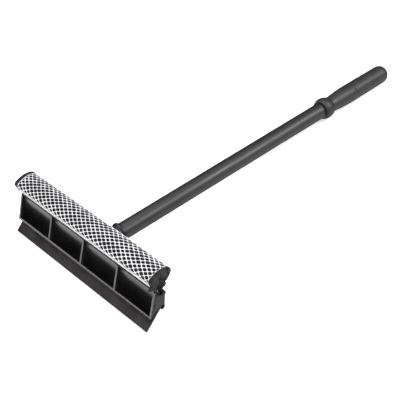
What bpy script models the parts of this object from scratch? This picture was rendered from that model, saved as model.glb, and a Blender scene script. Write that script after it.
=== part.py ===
"""Windshield squeegee: a ribbed head with a net-covered sponge above and a rubber blade below.

The head runs along X, the handle runs back along +Y, and the sponge is on top (+Z).
Sizes are in metres. The head's parts are drawn as side sections in the (y, z) plane, whose zero
is the front corner of the blade's wiping edge, and are then extruded along X. At the end the
whole squeegee is laid down on its blade and its grip, with the origin under the middle of it.
"""
import math

import bmesh
import bpy
from mathutils import Matrix, Vector

# ---- clearances and walls ----
GAP = 0.0003
SHELL_WALL = 0.0016
END_WALL = 0.0015

# ---- blade: a strip with a round bead along its root ----
BLADE_LENGTH = 0.254
BLADE_TILT = math.radians(42.0)
BLADE_THICKNESS = 0.0022
BLADE_REACH = 0.0325
BEAD_RADIUS = 0.0019
JAW_WALL = 0.0014

# ---- ribbed front panel ----
HEAD_OVERHANG = 0.0018
LIP_ALONG = 0.01436
LIP_ABOVE = 0.0056
PANEL_LEAN = math.radians(20.6)
PANEL_HEIGHT = 0.0344
PANEL_THICKNESS = 0.0034
PANEL_TOP_THICKNESS = 0.0015
LIP_FOOT = 0.0019
LIP_HEIGHT = 0.0030
POCKET_DEPTH = 0.0020
POCKET_SHELF = 0.0026
COVE_HEIGHT = 0.0093
COVE_START = 0.0024
COVE_RUN = 0.022
COVE_MARGIN = 0.0009
RIB_COUNT = 3
RIB_WIDTH = 0.0025
PEG_HOLE_RADIUS = 0.0011
PEG_HOLE_UP = 0.0173
PEG_HOLE_DEPTH = 0.0020
JAW_ABOVE = 0.0042

# ---- sponge rail in the slot along the top ----
RAIL_DROP = 0.0074
RAIL_GROOVE = 0.0005
RAIL_WALL = 0.0010
RAIL_BASE = 0.0013
RAIL_HEIGHT = 0.0058
RAIL_FLANGE = 0.0009
HOOK_LIP = 0.0010
HOOK_RISE = 0.0064
NECK_PIN_RADIUS = 0.0009
NECK_PIN_COUNT = 3
NECK_PIN_UP = 0.0034

# ---- sponge and net ----
SPONGE_OVERHANG = 0.0010
NECK_WIDTH = 0.0036
CAP_WIDTH = 0.0288
CAP_HEIGHT = 0.0214
CAP_SHIFT = 0.0015
CAP_LIFT = 0.0042
NET_THICKNESS = 0.0008
NET_END_MARGIN = 0.0030

# ---- handle socket on the back of the head ----
HANDLE_HEIGHT = 0.0245
SOCKET_LENGTH = 0.0408
SOCKET_FLOOR = 0.0040
SOCKET_WALL = 0.0011
RIM_PROUD = 0.0010
RIM_WIDTH = 0.0046
WEB_THICKNESS = 0.0024
WEB_REACH = 0.034
WEB_RUN = 0.023

# ---- tube, plug and grip ----
TUBE_RADIUS = 0.0106
TUBE_WALL = 0.0018
HANDLE_LENGTH = 0.375
PLUG_LENGTH = 0.024
SPIGOT_LENGTH = 0.045
GRIP_LENGTH = 0.1318
GRIP_BORE_RADIUS = 0.0062
GRIP_NECK_RADIUS = 0.0105
GRIP_SWELL_RADIUS = 0.0127
GRIP_END_RADIUS = 0.0124
GRIP_DOME = 0.0135
FLANGE_RADIUS = 0.0145
FLANGE_WIDTH = 0.0185
FRONT_GROOVE_WIDTH = 0.0020
FRONT_GROOVE_DEPTH = 0.0013
SWELL_START = 0.0208
SWELL_RUN = 0.034
GRIP_RIDGE_ANGLE = math.radians(43.0)
GRIP_RIDGE_START = 0.0626
GRIP_RIDGE_WIDTH = 0.0013
GRIP_RIDGE_PROUD = 0.0004
NOTCH_WIDTH = 0.0036
NOTCH_LENGTH = 0.0013
NOTCH_DEPTH = 0.0010

# ---- screws ----
SCREW_SHANK_RADIUS = 0.0014
SCREW_HEAD_RADIUS = 0.0028
SCREW_HEAD_HEIGHT = 0.0017
SCREW_LENGTH = 0.0105
SCREW_SHARES = (-0.404, -0.210, 0.210, 0.404)
SCREW_UP = 0.0220
BOSS_RADIUS = 0.0032
BOSS_SPLIT = 0.46
HANDLE_SCREW_LENGTH = 0.0125

ROUND_STEPS = 48
SMALL_STEPS = 20
BEVEL_WIDTH = 0.00035

HEAD_LENGTH = BLADE_LENGTH + 2 * HEAD_OVERHANG
STOP_FACE = END_WALL - HEAD_LENGTH / 2
SPONGE_LENGTH = HEAD_LENGTH + 2 * SPONGE_OVERHANG
SCREW_POSITIONS = tuple(share * HEAD_LENGTH for share in SCREW_SHARES)
BEAD_ABOVE = -BLADE_THICKNESS / 2
CHANNEL_RADIUS = BEAD_RADIUS + GAP
JAW_RADIUS = CHANNEL_RADIUS + JAW_WALL
SLOT_HALF = BLADE_THICKNESS / 2 + GAP
RAIL_UP = PANEL_HEIGHT - RAIL_DROP
NECK_CHANNEL = NECK_WIDTH + 2 * (NET_THICKNESS + 2 * GAP)
RAIL_FRONT = PANEL_THICKNESS + RAIL_GROOVE
RAIL_REAR = RAIL_FRONT + NECK_CHANNEL + 2 * RAIL_WALL
NECK_BACK = (RAIL_FRONT + RAIL_REAR) / 2
HOOK_FACE = RAIL_REAR + GAP
FLANGE_REAR = RAIL_REAR + RAIL_FLANGE
HEAD_REAR = FLANGE_REAR + GAP + SHELL_WALL
SOCKET_RADIUS = TUBE_RADIUS + GAP + SOCKET_WALL
FINISHES = {
    "black_plastic": ((0.016, 0.016, 0.017), 0.42, 0.0),
    "tube_plastic": ((0.024, 0.024, 0.025), 0.45, 0.0),
    "blade_rubber": ((0.055, 0.050, 0.053), 0.70, 0.0),
    "foam": ((0.035, 0.035, 0.038), 0.95, 0.0),
    "net": ((0.86, 0.84, 0.86), 0.60, 0.0),
    "steel": ((0.55, 0.55, 0.56), 0.30, 1.0),
}


# ---------- section geometry ----------

def on_blade(along, above):
    """Point in the section at a distance along the blade and above its front face."""
    y = along * math.cos(BLADE_TILT) - above * math.sin(BLADE_TILT)
    z = along * math.sin(BLADE_TILT) + above * math.cos(BLADE_TILT)
    return (y, z)


def on_panel(up, back):
    """Point in the section at a height up the front panel and a depth behind its face."""
    lip_y, lip_z = on_blade(LIP_ALONG, LIP_ABOVE)
    y = lip_y + up * math.sin(PANEL_LEAN) + back * math.cos(PANEL_LEAN)
    z = lip_z + up * math.cos(PANEL_LEAN) - back * math.sin(PANEL_LEAN)
    return (y, z)


def panel_coordinates(point):
    """Height up the panel and depth behind it of a section point."""
    lip_y, lip_z = on_blade(LIP_ALONG, LIP_ABOVE)
    y = point[0] - lip_y
    z = point[1] - lip_z
    up = y * math.sin(PANEL_LEAN) + z * math.cos(PANEL_LEAN)
    back = y * math.cos(PANEL_LEAN) - z * math.sin(PANEL_LEAN)
    return (up, back)


def around_bead(radius, degrees):
    """Point at an angle round the bead's centre: 0 is further in, 180 is down the blade."""
    angle = math.radians(degrees)
    return on_blade(BLADE_REACH + radius * math.cos(angle), BEAD_ABOVE + radius * math.sin(angle))


def bead_arc(radius, first, last, steps):
    """Points of an arc round the bead's centre, both ends included."""
    return [around_bead(radius, first + (last - first) * i / steps) for i in range(steps + 1)]


def slot_angle(radius):
    """Angle, in degrees, between the slot's side and the blade's line on a circle round the bead."""
    return math.degrees(math.asin(SLOT_HALF / radius))


def smooth(points, steps):
    """Catmull-Rom curve through open points, first and last included."""
    path = [Vector(p) for p in points]
    path = [2 * path[0] - path[1]] + path + [2 * path[-1] - path[-2]]
    result = []
    for i in range(1, len(path) - 2):
        before, start, end, after = path[i - 1:i + 3]
        for step in range(steps):
            t = step / steps
            a = 2 * start
            b = end - before
            c = 2 * before - 5 * start + 4 * end - after
            d = after - before + 3 * (start - end)
            result.append(tuple(0.5 * (a + b * t + c * t * t + d * t * t * t)))
    result.append(tuple(path[-2]))
    return result


def offset_path(points, distance):
    """Open path moved sideways by a distance, to the left of its direction."""
    result = []
    for i, point in enumerate(points):
        before = Vector(points[max(i - 1, 0)])
        after = Vector(points[min(i + 1, len(points) - 1)])
        along = (after - before).normalized()
        result.append((point[0] - along.y * distance, point[1] + along.x * distance))
    return result


# ---------- modelling tools ----------

def link(name, mesh):
    """New object of a mesh, in the scene."""
    piece = bpy.data.objects.new(name, mesh)
    bpy.context.scene.collection.objects.link(piece)
    return piece


def prism(name, section, length, x_centre=0.0):
    """Solid of a (y, z) section extruded along X."""
    mesh = bpy.data.meshes.new(name)
    shape = bmesh.new()
    start = x_centre - length / 2
    corners = [shape.verts.new((start, y, z)) for y, z in section]
    face = shape.faces.new(corners)
    moved = bmesh.ops.extrude_face_region(shape, geom=[face])
    far_end = [item for item in moved["geom"] if isinstance(item, bmesh.types.BMVert)]
    bmesh.ops.translate(shape, verts=far_end, vec=(length, 0, 0))
    bmesh.ops.recalc_face_normals(shape, faces=shape.faces)
    shape.to_mesh(mesh)
    shape.free()
    return link(name, mesh)


def lathe(name, profile, steps=ROUND_STEPS):
    """Solid of a (radius, y) profile turned about the Y axis; the profile is closed by the axis or itself."""
    mesh = bpy.data.meshes.new(name)
    shape = bmesh.new()
    points = [shape.verts.new((radius, y, 0)) for radius, y in profile]
    pairs = list(zip(points, points[1:]))
    if profile[0][0] > 0:
        pairs.append((points[-1], points[0]))
    edges = [shape.edges.new(pair) for pair in pairs]
    bmesh.ops.spin(shape, geom=points + edges, cent=(0, 0, 0), axis=(0, 1, 0),
                   angle=2 * math.pi, steps=steps, use_merge=True)
    bmesh.ops.remove_doubles(shape, verts=shape.verts, dist=1e-6)
    bmesh.ops.recalc_face_normals(shape, faces=shape.faces)
    shape.to_mesh(mesh)
    shape.free()
    return link(name, mesh)


def place(piece, location, turn=None):
    """Move a piece, and turn it first where a turn is given, within its mesh."""
    matrix = Matrix.Translation(location)
    if turn is not None:
        matrix = matrix @ turn.to_4x4()
    piece.data.transform(matrix)
    return piece


def rod(name, radius, length, centre, turn=None, steps=SMALL_STEPS):
    """Plain round bar along Y, or along where a turn takes Y."""
    half = length / 2
    bar = lathe(name, [(0, -half), (radius, -half), (radius, half), (0, half)], steps)
    return place(bar, centre, turn)


def apply_modifiers(piece):
    """Keep a piece's evaluated shape and drop its modifiers."""
    bpy.context.view_layer.update()
    evaluated = piece.evaluated_get(bpy.context.evaluated_depsgraph_get())
    mesh = bpy.data.meshes.new_from_object(evaluated)
    piece.modifiers.clear()
    piece.data = mesh


def weld(piece):
    """Close up the hairline slivers that a cut can leave."""
    shape = bmesh.new()
    shape.from_mesh(piece.data)
    bmesh.ops.remove_doubles(shape, verts=shape.verts, dist=2e-6)
    bmesh.ops.dissolve_degenerate(shape, edges=shape.edges, dist=1e-6)
    shape.to_mesh(piece.data)
    shape.free()


def combine(piece, tool, operation):
    """Add a tool's shape to a piece, or cut it out, and remove the tool."""
    modifier = piece.modifiers.new("combine", 'BOOLEAN')
    modifier.object = tool
    modifier.solver = 'EXACT'
    modifier.operation = operation
    apply_modifiers(piece)
    bpy.data.objects.remove(tool)
    weld(piece)


def join(piece, *tools):
    """Add each tool's shape to a piece."""
    for tool in tools:
        combine(piece, tool, 'UNION')


def cut(piece, *tools):
    """Cut each tool's shape out of a piece."""
    for tool in tools:
        combine(piece, tool, 'DIFFERENCE')


def soften(piece, chosen, width=BEVEL_WIDTH, degrees=30.0):
    """Round the sharp edges of a moulded piece whose two ends are both chosen."""
    shape = bmesh.new()
    shape.from_mesh(piece.data)
    edges = []
    for edge in shape.edges:
        sharp = abs(edge.calc_face_angle_signed(0.0)) > math.radians(degrees)
        if sharp and all(chosen(corner.co) for corner in edge.verts):
            edges.append(edge)
    bmesh.ops.bevel(shape, geom=edges, offset=width, offset_type='OFFSET', segments=2,
                    profile=0.5, affect='EDGES', clamp_overlap=True)
    shape.to_mesh(piece.data)
    shape.free()


def shade_round(piece, degrees=35.0):
    """Shade smooth, but keep edges sharper than an angle."""
    piece.data.shade_smooth()
    shape = bmesh.new()
    shape.from_mesh(piece.data)
    for edge in shape.edges:
        sharp = len(edge.link_faces) == 2 and edge.calc_face_angle(0.0) > math.radians(degrees)
        edge.smooth = not sharp
    shape.to_mesh(piece.data)
    shape.free()


def material(slot):
    """Principled material of a named finish."""
    found = bpy.data.materials.get(slot)
    if found:
        return found
    color, roughness, metallic = FINISHES[slot]
    made = bpy.data.materials.new(slot)
    made.use_nodes = True
    shader = made.node_tree.nodes["Principled BSDF"]
    shader.inputs["Base Color"].default_value = (*color, 1.0)
    shader.inputs["Roughness"].default_value = roughness
    shader.inputs["Metallic"].default_value = metallic
    made.diffuse_color = (*color, 1.0)
    return made


def finish(piece, slot, origin, parent):
    """Give a piece its material, put its origin on a point and hang it on its parent."""
    piece.data.materials.clear()
    piece.data.materials.append(material(slot))
    shade_round(piece)
    piece.data.transform(Matrix.Translation(-Vector(origin)))
    piece.location = Vector(origin) - parent.location
    piece.parent = parent
    return piece


def holder(name, location, parent=None):
    """Empty that carries pieces which stay together."""
    empty = bpy.data.objects.new(name, None)
    bpy.context.scene.collection.objects.link(empty)
    empty.location = location
    if parent is not None:
        empty.parent = parent
        empty.location = Vector(location) - parent.location
    return empty


# ---------- head ----------

def cove_height(run):
    """Height of a pocket's cove at a distance from the pocket's left end; it grows over COVE_RUN."""
    t = min(run / COVE_RUN, 1.0)
    return COVE_START + (COVE_HEIGHT - COVE_START) * math.sin(t * math.pi / 2)


def cove_depth(up, height):
    """Depth of a pocket's floor, which curves out to the face over a cove's height at the top."""
    start = PANEL_HEIGHT - COVE_MARGIN - height
    if up <= start:
        return POCKET_DEPTH
    radius = (height ** 2 + POCKET_DEPTH ** 2) / (2 * POCKET_DEPTH)
    rise = min(up - start, height)
    return POCKET_DEPTH - (radius - math.sqrt(radius ** 2 - rise ** 2))


def underside_back(up):
    """Depth behind the panel's face of the head's slanting underside at a height up the panel."""
    first = panel_coordinates(on_blade(LIP_ALONG, JAW_ABOVE))
    second = panel_coordinates(on_blade(BLADE_REACH, JAW_ABOVE))
    return first[1] + (up - first[0]) * (second[1] - first[1]) / (second[0] - first[0])


def underside_up(back):
    """Height up the panel at which the underside is a depth behind the panel's face."""
    near = underside_back(0.0)
    slope = underside_back(1.0) - near
    return (back - near) / slope


def panel_section():
    """Closed section of the front plate, from the lip's foot to the panel's top."""
    foot_up = underside_up(LIP_FOOT)
    return [
        on_panel(0, 0),
        on_panel(PANEL_HEIGHT, 0),
        on_panel(PANEL_HEIGHT, PANEL_TOP_THICKNESS),
        on_panel(RAIL_UP + RAIL_DROP / 2, PANEL_THICKNESS - RAIL_GROOVE),
        on_panel(RAIL_UP, PANEL_THICKNESS),
        on_panel(underside_up(PANEL_THICKNESS), PANEL_THICKNESS),
        on_panel(foot_up, LIP_FOOT),
    ]


def front_jaw_section():
    """Closed section of the front plate's lower jaw, which runs back to the bead's channel."""
    mouth = BLADE_REACH - JAW_RADIUS - GAP
    inner = 180 - slot_angle(CHANNEL_RADIUS)
    section = [
        on_panel(underside_up(LIP_FOOT), LIP_FOOT),
        on_blade(mouth - 2 * JAW_WALL, JAW_ABOVE),
        on_blade(mouth - JAW_WALL, JAW_ABOVE - JAW_WALL),
        on_blade(mouth, BEAD_ABOVE + SLOT_HALF),
    ]
    section += bead_arc(CHANNEL_RADIUS, inner, 60, 8)
    section += [around_bead(JAW_RADIUS, 60), around_bead(JAW_RADIUS, 95)]
    section += [
        on_blade(mouth - JAW_WALL, JAW_ABOVE + SHELL_WALL),
        on_panel(underside_up(PANEL_THICKNESS) + 2 * SHELL_WALL, PANEL_THICKNESS - GAP),
        on_panel(underside_up(LIP_FOOT) + SHELL_WALL, LIP_FOOT),
    ]
    return section


def pocket_section(run):
    """Closed section of the cut that leaves a pocket, at a distance from the pocket's left end."""
    top = PANEL_HEIGHT - COVE_MARGIN
    steps = 8
    height = cove_height(run)
    heights = [top - height * i / steps for i in range(steps + 1)]
    section = [on_panel(LIP_HEIGHT, -SHELL_WALL), on_panel(top, -SHELL_WALL)]
    section += [on_panel(up, cove_depth(up, height)) for up in heights]
    section += [
        on_panel(LIP_HEIGHT + POCKET_SHELF, POCKET_DEPTH),
        on_panel(LIP_HEIGHT, POCKET_DEPTH / 2),
    ]
    return section


def pocket_cutter(centre, length):
    """Solid that cuts one pocket: its sections joined up along X as the cove grows."""
    steps = 8
    runs = [COVE_RUN * i / steps for i in range(steps + 1)] + [length]
    mesh = bpy.data.meshes.new("pocket")
    shape = bmesh.new()
    left = centre - length / 2
    loops = [[shape.verts.new((left + run, y, z)) for y, z in pocket_section(run)] for run in runs]
    for near, far in zip(loops, loops[1:]):
        for i in range(len(near)):
            after = (i + 1) % len(near)
            shape.faces.new((near[i], near[after], far[after], far[i]))
    shape.faces.new(loops[0])
    shape.faces.new(loops[-1])
    bmesh.ops.recalc_face_normals(shape, faces=shape.faces)
    shape.to_mesh(mesh)
    shape.free()
    return link("pocket", mesh)


def pocket_spans():
    """Middle and length along X of each pocket between the end walls and ribs."""
    inner = HEAD_LENGTH - 2 * RIB_WIDTH
    count = RIB_COUNT + 1
    length = (inner - RIB_COUNT * RIB_WIDTH) / count
    first = -inner / 2 + length / 2
    return [(first + i * (length + RIB_WIDTH), length) for i in range(count)]


def screw_height():
    """Height of the head screws above the blade's edge."""
    return on_panel(SCREW_UP, HEAD_REAR)[1]


def depth_at_height(back, height):
    """The section's y where a plane at a depth behind the panel's face reaches a height."""
    up_zero = on_panel(0, back)
    return up_zero[0] + (height - up_zero[1]) * math.tan(PANEL_LEAN)


def boss_split():
    """The y at which the front and rear screw bosses meet."""
    front = depth_at_height(PANEL_THICKNESS, screw_height())
    rear = rear_face_y(screw_height())
    return front + (rear - front) * BOSS_SPLIT


def rear_corner():
    """Top of the head's rear face, level with the rail's ledge."""
    return on_panel(RAIL_UP, HEAD_REAR)


def rear_foot():
    """Foot of the head's rear face, on the jaw's round."""
    return around_bead(JAW_RADIUS, -math.degrees(BLADE_TILT) + 10)


def rear_face_y(height):
    """The y of the head's rear face at a height."""
    low = rear_foot()
    high = rear_corner()
    return low[0] + (high[0] - low[0]) * (height - low[1]) / (high[1] - low[1])


def screw_bore(x):
    """Stepped hole for a head screw: the shank's bore and the wider seat for its head."""
    front = depth_at_height(PANEL_THICKNESS, screw_height()) + GAP
    seat = screw_seat()
    shank = SCREW_SHANK_RADIUS + GAP
    head = SCREW_HEAD_RADIUS + GAP
    end = seat + 4 * SCREW_HEAD_HEIGHT
    profile = [(0, front), (shank, front), (shank, seat), (head, seat), (head, end), (0, end)]
    return place(lathe("screw_bore", profile, SMALL_STEPS), (x, 0, screw_height()))


def on_panel_face(corner):
    """True for a corner that lies on the plane of the panel's face."""
    return abs(panel_coordinates((corner.y, corner.z))[1]) < GAP / 10


def make_head_front(parent):
    """Front shell: ribbed plate, lip, lower jaw and half of each screw boss."""
    shell = prism("head_front", panel_section(), HEAD_LENGTH)
    jaw_length = HEAD_LENGTH - 2 * (END_WALL + GAP)
    join(shell, prism("jaw", front_jaw_section(), jaw_length))
    face = depth_at_height(PANEL_THICKNESS, screw_height())
    back = boss_split() - GAP / 2
    for x in SCREW_POSITIONS:
        start = face - PANEL_THICKNESS / 2
        boss = rod("boss", BOSS_RADIUS, back - start, (x, (back + start) / 2, screw_height()))
        join(shell, boss)
    for centre, length in pocket_spans():
        cut(shell, pocket_cutter(centre, length))
    for x in SCREW_POSITIONS:
        cut(shell, screw_bore(x))
    peg = on_panel(PEG_HOLE_UP, PANEL_THICKNESS / 2)
    for side in (-1, 1):
        centre = (side * HEAD_LENGTH / 2, peg[0], peg[1])
        turn = Matrix.Rotation(math.radians(90), 3, 'Z')
        cut(shell, rod("peg_hole", PEG_HOLE_RADIUS, 2 * PEG_HOLE_DEPTH, centre, turn, 12))
    soften(shell, on_panel_face)
    return finish(shell, "black_plastic", (0, *on_panel(0, 0)), parent)


def hook_section():
    """Ledge and hook points that hold the rail, from the rear corner round to the ledge's front."""
    ledge = RAIL_UP
    lip_base = ledge + GAP + RAIL_BASE + GAP
    return [
        rear_corner(),
        on_panel(ledge + HOOK_RISE * 0.55, HEAD_REAR + HOOK_LIP),
        on_panel(ledge + HOOK_RISE, HOOK_FACE + HOOK_LIP),
        on_panel(ledge + HOOK_RISE, HOOK_FACE),
        on_panel(lip_base, HOOK_FACE),
        on_panel(lip_base, FLANGE_REAR + GAP),
        on_panel(ledge, FLANGE_REAR + GAP),
        on_panel(ledge, PANEL_THICKNESS + GAP),
    ]


def rear_shell_section():
    """Closed section of the rear shell: lower jaw, rear wall, ledge and hook."""
    outer = 180 - slot_angle(JAW_RADIUS)
    inner = 180 - slot_angle(CHANNEL_RADIUS)
    foot = -math.degrees(BLADE_TILT) + 10
    ledge_under = RAIL_UP - SHELL_WALL
    section = bead_arc(JAW_RADIUS, -outer, foot, 10)
    section += hook_section()
    section += [
        on_panel(ledge_under, PANEL_THICKNESS + GAP),
        on_panel(ledge_under, HEAD_REAR - SHELL_WALL),
        around_bead(JAW_RADIUS, 20),
    ]
    section += bead_arc(CHANNEL_RADIUS, 30, -inner, 14)
    return section


def end_wall_section():
    """Closed section of an end wall, which covers the head's end behind the front plate."""
    outer = 180 - slot_angle(JAW_RADIUS)
    foot = -math.degrees(BLADE_TILT) + 10
    mouth = BLADE_REACH - JAW_RADIUS - GAP
    back = PANEL_THICKNESS + GAP
    section = bead_arc(JAW_RADIUS, -outer, foot, 10)
    section += [
        rear_corner(),
        on_panel(RAIL_UP, back),
        on_panel(underside_up(back), back),
        on_blade(mouth - 2 * JAW_WALL, JAW_ABOVE),
        on_blade(mouth - JAW_WALL, JAW_ABOVE - JAW_WALL),
        on_blade(mouth, BEAD_ABOVE + SLOT_HALF),
        around_bead(CHANNEL_RADIUS, 180),
    ]
    return section


def channel_section():
    """Closed section of the blade's channel: the bead's round and the slot down to the mouth."""
    inner = 180 - slot_angle(CHANNEL_RADIUS)
    section = [
        on_blade(0, BEAD_ABOVE - SLOT_HALF),
        on_blade(0, BEAD_ABOVE + SLOT_HALF),
    ]
    section += bead_arc(CHANNEL_RADIUS, inner, -inner, 24)
    return section


def stop_section():
    """Closed section of the stop that the rail's base meets at the -X end."""
    front = PANEL_THICKNESS + GAP
    rear = HEAD_REAR - SHELL_WALL / 2
    low = RAIL_UP - SHELL_WALL / 2
    high = RAIL_UP + RAIL_BASE
    return [on_panel(low, front), on_panel(high, front), on_panel(high, rear), on_panel(low, rear)]


def socket_mouth():
    """The y of the socket's open end."""
    return rear_face_y(HANDLE_HEIGHT) + SOCKET_LENGTH


def socket_bottom():
    """The y of the floor of the socket's bore."""
    return rear_face_y(HANDLE_HEIGHT) + SOCKET_FLOOR


def rail_room_section():
    """Closed section of the space in front of the middle of the rear wall, up past the rail."""
    middle = HEAD_REAR - SHELL_WALL / 2
    low = RAIL_UP - RAIL_HEIGHT
    high = RAIL_UP + 2 * RAIL_HEIGHT
    return [on_panel(low, 0), on_panel(high, 0), on_panel(high, middle), on_panel(low, middle)]


def make_socket():
    """Socket tube with its bead rim, solid at its root, clear of the rail above."""
    root = rear_face_y(HANDLE_HEIGHT) - SHELL_WALL * 0.7
    mouth = socket_mouth()
    rim = SOCKET_RADIUS + RIM_PROUD
    round_off = RIM_WIDTH / 3
    profile = [
        (0, root),
        (SOCKET_RADIUS, root),
        (SOCKET_RADIUS, mouth - RIM_WIDTH),
        (rim - round_off / 3, mouth - RIM_WIDTH + round_off / 3),
        (rim, mouth - RIM_WIDTH + round_off),
        (rim, mouth - round_off),
        (rim - round_off / 3, mouth - round_off / 3),
        (rim - round_off, mouth),
        (0, mouth),
    ]
    socket = place(lathe("socket", profile), (0, 0, HANDLE_HEIGHT))
    cut(socket, prism("rail_room", rail_room_section(), 4 * SOCKET_RADIUS))
    return socket


def make_web(side):
    """Flat triangular web between the rear face and the socket."""
    base = rear_face_y(HANDLE_HEIGHT) - SHELL_WALL / 2
    inner = SOCKET_RADIUS * 0.7
    mesh = bpy.data.meshes.new("web")
    shape = bmesh.new()
    corners = [(inner, base), (inner + WEB_REACH, base), (inner, base + WEB_RUN)]
    bottom = HANDLE_HEIGHT - WEB_THICKNESS / 2
    face = shape.faces.new([shape.verts.new((side * x, y, bottom)) for x, y in corners])
    moved = bmesh.ops.extrude_face_region(shape, geom=[face])
    top = [item for item in moved["geom"] if isinstance(item, bmesh.types.BMVert)]
    bmesh.ops.translate(shape, verts=top, vec=(0, 0, WEB_THICKNESS))
    bmesh.ops.recalc_face_normals(shape, faces=shape.faces)
    shape.to_mesh(mesh)
    shape.free()
    return link("web", mesh)


def handle_screw_y():
    """The y of the handle screw, at the middle of the plug."""
    return socket_bottom() + GAP + PLUG_LENGTH / 2


def handle_screw_hole(radius):
    """Hole from under the socket up into the plug."""
    turn = Matrix.Rotation(math.radians(90), 3, 'X')
    length = 2 * (HANDLE_SCREW_LENGTH + GAP)
    centre = (0, handle_screw_y(), HANDLE_HEIGHT - SOCKET_RADIUS)
    return rod("screw_hole", radius, length, centre, turn)


def make_head_rear(parent):
    """Rear shell: end walls, ledge, hook, rear jaw, socket, webs and half of each screw boss.

    The blade's channel and the rail's slot are open at +X and end at a stop at -X.
    """
    shell = prism("head_rear", rear_shell_section(), HEAD_LENGTH)
    wall_centre = (HEAD_LENGTH - END_WALL) / 2
    for side in (-1, 1):
        join(shell, prism("end_wall", end_wall_section(), END_WALL, side * wall_centre))
    join(shell, prism("rail_stop", stop_section(), END_WALL, -wall_centre))
    cut(shell, prism("channel", channel_section(), HEAD_LENGTH, STOP_FACE + HEAD_LENGTH / 2))
    join(shell, make_socket(), make_web(-1), make_web(1))
    height = screw_height()
    front = boss_split() + GAP / 2
    rear = rear_face_y(height)
    for x in SCREW_POSITIONS:
        boss_end = rear - SHELL_WALL / 2
        boss = rod("boss", BOSS_RADIUS, boss_end - front, (x, (front + boss_end) / 2, height))
        join(shell, boss)
        cut(shell, screw_bore(x))
    bore_length = SOCKET_LENGTH
    bore_centre = socket_bottom() + bore_length / 2
    cut(shell, rod("bore", TUBE_RADIUS + GAP, bore_length, (0, bore_centre, HANDLE_HEIGHT),
                   steps=ROUND_STEPS))
    cut(shell, handle_screw_hole(SCREW_SHANK_RADIUS + GAP))
    return finish(shell, "black_plastic", (0, rear_face_y(HANDLE_HEIGHT), HANDLE_HEIGHT), parent)


def screw_seat():
    """The y of the face under each head screw's head."""
    return rear_face_y(screw_height()) - SCREW_HEAD_HEIGHT


def screw_profile(length):
    """Profile of a domed screw, its head's underside at y = 0 and its point at -length."""
    shank = SCREW_SHANK_RADIUS
    head = SCREW_HEAD_RADIUS
    socket = head * 0.42
    dome = [(head * math.cos(a), SCREW_HEAD_HEIGHT * (0.4 + 0.6 * math.sin(a)))
            for a in (math.radians(d) for d in (0, 25, 50))]
    profile = [(0, -length), (shank * 0.5, -length + shank), (shank, -length + 2 * shank)]
    profile += [(shank, 0), (head, 0)]
    profile += dome
    profile += [(socket, SCREW_HEAD_HEIGHT * 0.95), (socket * 0.8, SCREW_HEAD_HEIGHT * 0.4)]
    profile += [(0, SCREW_HEAD_HEIGHT * 0.3)]
    return profile


def make_head_screws(parent):
    """Four screws that pull the rear shell to the front shell."""
    for number, x in enumerate(SCREW_POSITIONS, start=1):
        screw = lathe(f"head_screw_{number}", screw_profile(SCREW_LENGTH), SMALL_STEPS)
        origin = (x, screw_seat() + GAP, screw_height())
        place(screw, origin)
        finish(screw, "steel", origin, parent)


# ---------- sponge, net and rail ----------

def rail_section():
    """Closed section of the rail: a base with a heel under the hook, and two walls."""
    base = RAIL_UP + GAP
    floor = base + RAIL_BASE
    top = base + RAIL_HEIGHT
    return [
        on_panel(base, RAIL_FRONT),
        on_panel(top, RAIL_FRONT),
        on_panel(top, RAIL_FRONT + RAIL_WALL),
        on_panel(floor, RAIL_FRONT + RAIL_WALL),
        on_panel(floor, RAIL_REAR - RAIL_WALL),
        on_panel(top, RAIL_REAR - RAIL_WALL),
        on_panel(top, RAIL_REAR),
        on_panel(floor, RAIL_REAR),
        on_panel(floor, FLANGE_REAR),
        on_panel(base, FLANGE_REAR),
    ]


def cap_point(across, rise):
    """Point of the sponge's cap: across from -0.5 to 0.5 of its width, rise from 0 to 1 of its height."""
    base_y, base_z = on_panel(PANEL_HEIGHT, NECK_BACK)
    y = base_y + CAP_SHIFT + across * CAP_WIDTH
    z = base_z + CAP_LIFT + rise * CAP_HEIGHT
    return (y, z)


def sponge_outline(steps=3):
    """Open outline of the sponge, from the neck's front foot over the cap to its rear foot."""
    foot = RAIL_UP + GAP + RAIL_BASE + GAP
    top = RAIL_UP + RAIL_HEIGHT
    front = NECK_BACK - NECK_WIDTH / 2
    rear = NECK_BACK + NECK_WIDTH / 2
    cap = [
        on_panel(top + GAP, front),
        cap_point(-0.22, 0.03),
        cap_point(-0.36, 0.17),
        cap_point(-0.43, 0.40),
        cap_point(-0.48, 0.58),
        cap_point(-0.495, 0.70),
        cap_point(-0.43, 0.81),
        cap_point(-0.285, 0.90),
        cap_point(-0.13, 0.965),
        cap_point(0.04, 1.0),
        cap_point(0.20, 0.985),
        cap_point(0.35, 0.93),
        cap_point(0.46, 0.85),
        cap_point(0.50, 0.74),
        cap_point(0.455, 0.58),
        cap_point(0.34, 0.37),
        cap_point(0.19, 0.20),
        cap_point(0.11, 0.02),
        on_panel(top + GAP, rear),
    ]
    return [on_panel(foot, front)] + smooth(cap, steps) + [on_panel(foot, rear)]


def neck_pin_holes(piece, radius):
    """Cut the neck pins' holes through a piece."""
    turn = Matrix.Rotation(-PANEL_LEAN, 3, 'X')
    y, z = on_panel(RAIL_UP + NECK_PIN_UP, NECK_BACK)
    for x in neck_pin_positions():
        cut(piece, rod("pin_hole", radius, 4 * NECK_CHANNEL, (x, y, z), turn, 16))


def neck_pin_positions():
    """X of each pin, evenly spread along the rail."""
    pitch = SPONGE_LENGTH / NECK_PIN_COUNT
    return [(i - (NECK_PIN_COUNT - 1) / 2) * pitch for i in range(NECK_PIN_COUNT)]


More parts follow.
